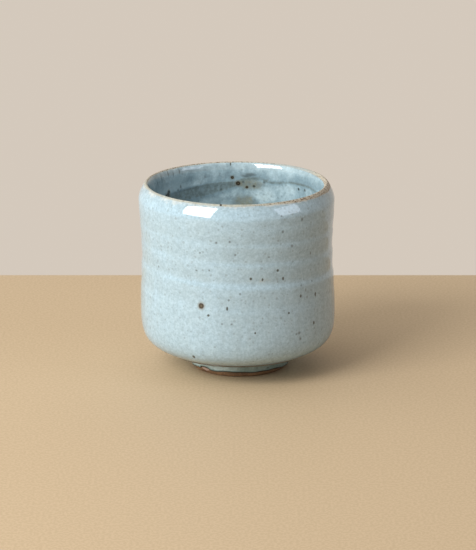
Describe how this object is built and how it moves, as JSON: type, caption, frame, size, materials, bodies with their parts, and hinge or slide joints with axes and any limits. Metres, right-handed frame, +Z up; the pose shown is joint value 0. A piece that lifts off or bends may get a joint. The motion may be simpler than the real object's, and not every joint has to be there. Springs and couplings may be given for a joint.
{
  "type": "tea bowl",
  "caption": "Hand-thrown stoneware tea bowl with an upright wall, bare clay lip, low foot ring and pale blue-grey glaze, for drinking hot tea.",
  "frame": {"origin": "centre of the foot ring's base, on the surface that the bowl stands on", "axes": "+Z up along the bowl's axis; -Y is the side that faces the camera in the picture, +X is on the right"},
  "size_m": [0.088, 0.088, 0.0848],
  "materials": {
    "stoneware": "bare, fired, slightly rough",
    "foot_clay": "bare, fired, slightly rough",
    "outer_glaze": "glossy, with iron specks",
    "inner_glaze": "glossy, with iron specks",
    "foot_glaze": "glossy, thin and olive over the clay"
  },
  "bodies": {
    "root": {"clay_body": "stoneware", "foot_ring": "foot_clay", "outer_glaze": "outer_glaze", "inner_glaze": "inner_glaze", "foot_glaze": "foot_glaze"}
  },
  "joints": []
}
